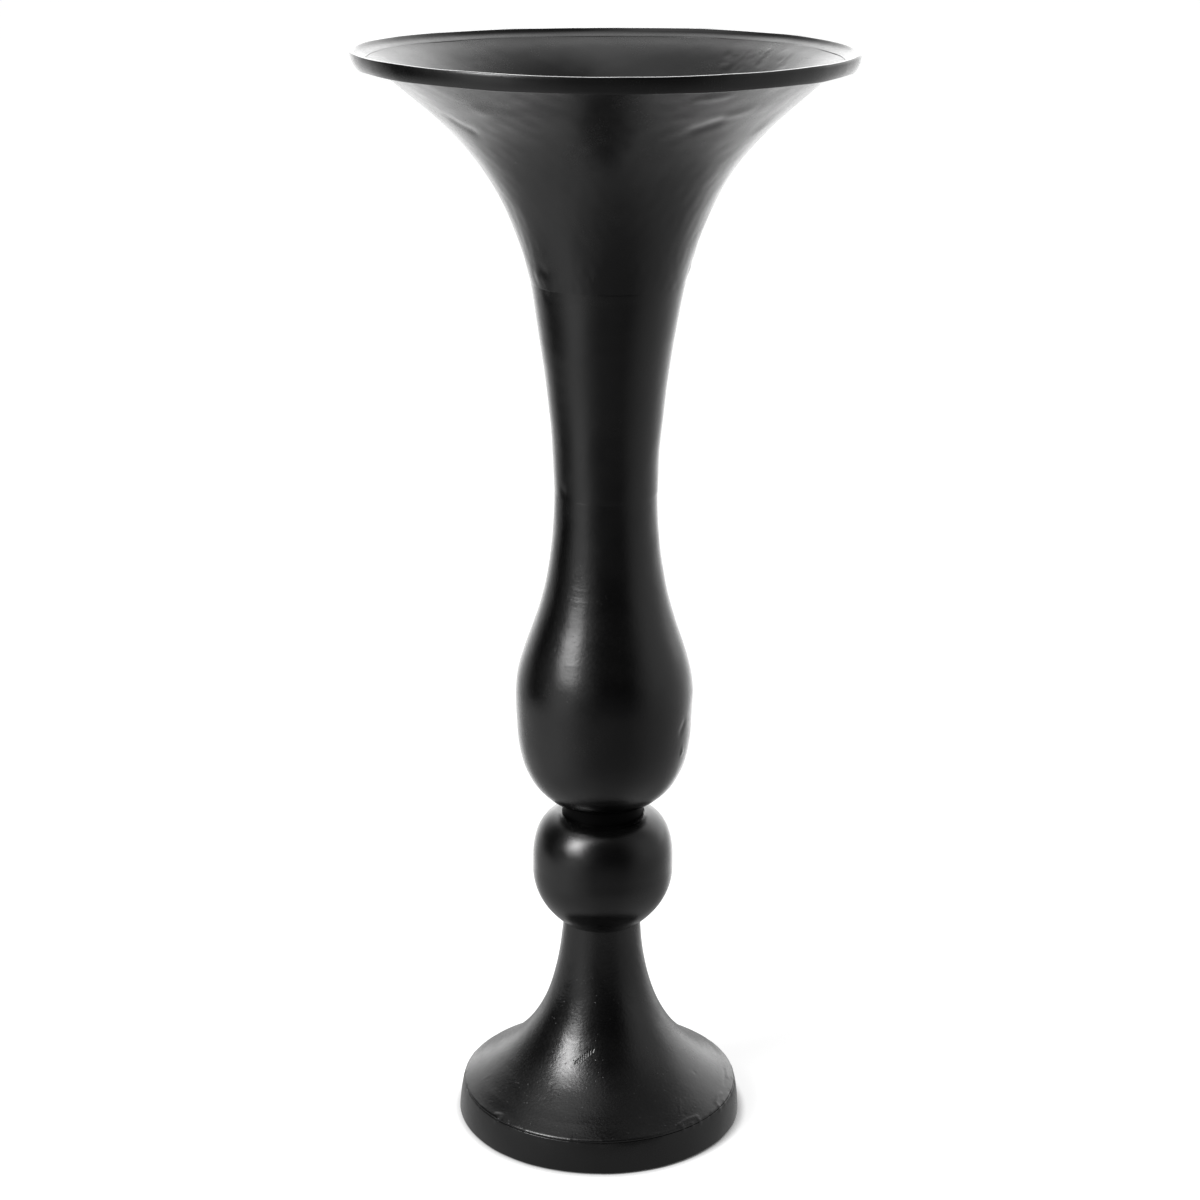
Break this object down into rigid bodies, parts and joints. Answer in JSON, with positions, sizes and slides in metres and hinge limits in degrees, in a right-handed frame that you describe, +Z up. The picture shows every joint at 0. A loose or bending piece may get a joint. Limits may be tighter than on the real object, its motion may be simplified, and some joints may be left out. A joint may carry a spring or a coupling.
{
  "type": "trumpet vase",
  "caption": "Tall black metal trumpet vase with a flared mouth, slim neck, egg-shaped bulb, ball knop and flared round foot.",
  "frame": {"origin": "on the vase's axis, in the plane that the four pads stand on", "axes": "+Z up along the axis towards the mouth; -Y is the side that the picture shows; +X is right in the picture"},
  "size_m": [0.3448, 0.3448, 0.8],
  "materials": {
    "black_paint": "satin black baked paint over sand-cast aluminium, with pinholes and turning marks under it",
    "zinc_steel": "zinc plated",
    "pad_rubber": "matt rubber"
  },
  "bodies": {
    "root": {"rim_band": "black_paint", "horn": "black_paint", "neck": "black_paint", "bulb": "black_paint", "collar": "black_paint", "ball": "black_paint", "foot": "black_paint", "plinth_ring": "black_paint", "tie_rod": "zinc_steel", "clamp_washer": "zinc_steel", "spring_washer": "zinc_steel", "nut": "zinc_steel", "pad_back_right": "pad_rubber", "pad_back_left": "pad_rubber", "pad_front_left": "pad_rubber", "pad_front_right": "pad_rubber"}
  },
  "joints": []
}
